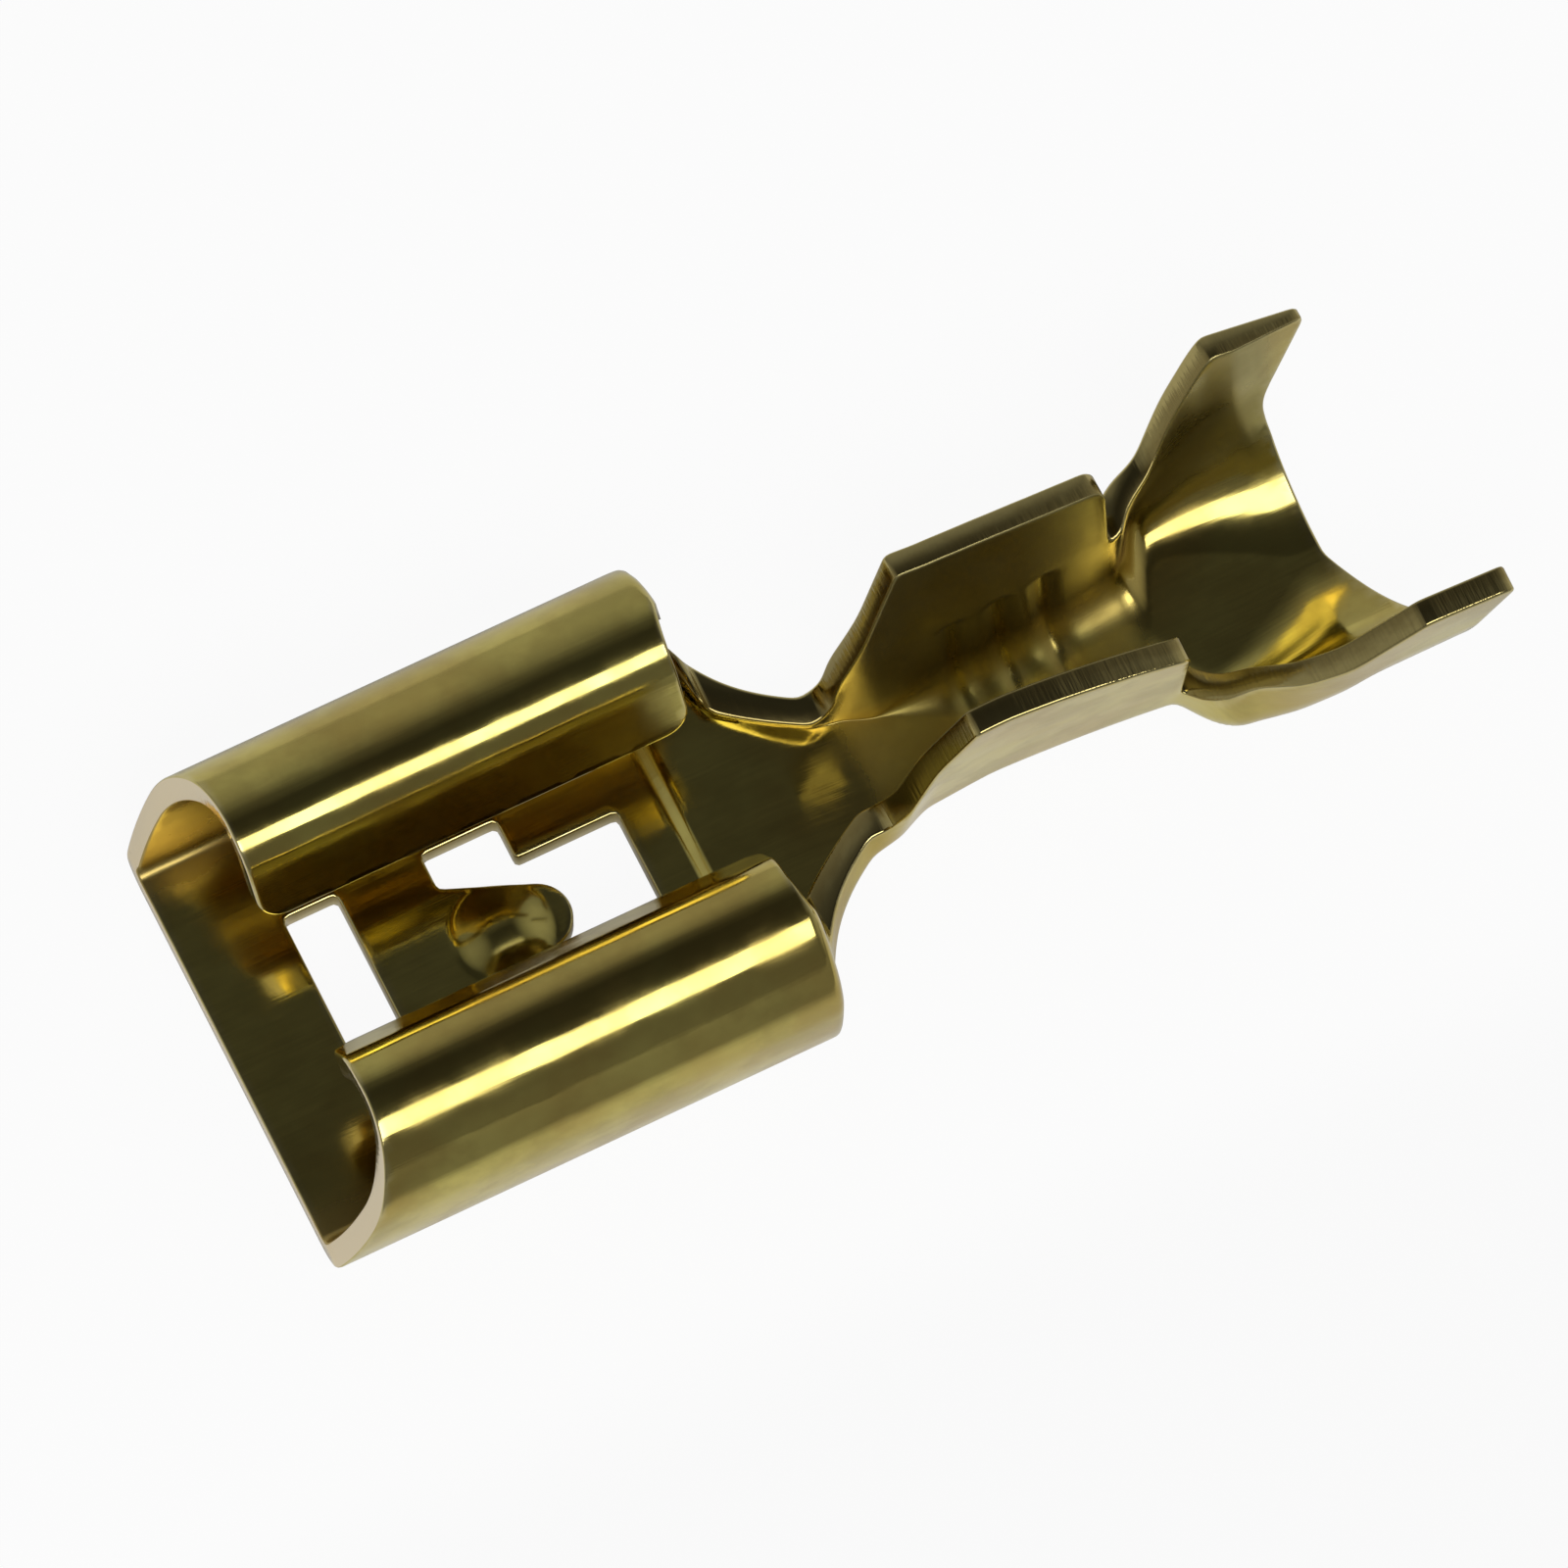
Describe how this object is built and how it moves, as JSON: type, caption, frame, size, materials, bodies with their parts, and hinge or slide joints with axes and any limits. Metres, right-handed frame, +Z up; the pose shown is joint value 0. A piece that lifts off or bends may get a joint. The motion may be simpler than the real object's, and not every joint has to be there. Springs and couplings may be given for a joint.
{
  "type": "locking female spade terminal",
  "caption": "Crimp-on female spade terminal folded from brass strip, with rolled sides that grip a flat tab, a locking tongue and open wire and insulation barrels.",
  "frame": {"origin": "on the underside plane of the floor, under the middle of the length", "axes": "+X from the tab mouth towards the wire end, +Z up out of the open side of the barrels, +Y across the strip"},
  "size_m": [0.0192, 0.0074, 0.0043],
  "materials": {
    "brass": "bright rolled and pressed"
  },
  "bodies": {
    "root": {"terminal": "brass"}
  },
  "joints": []
}
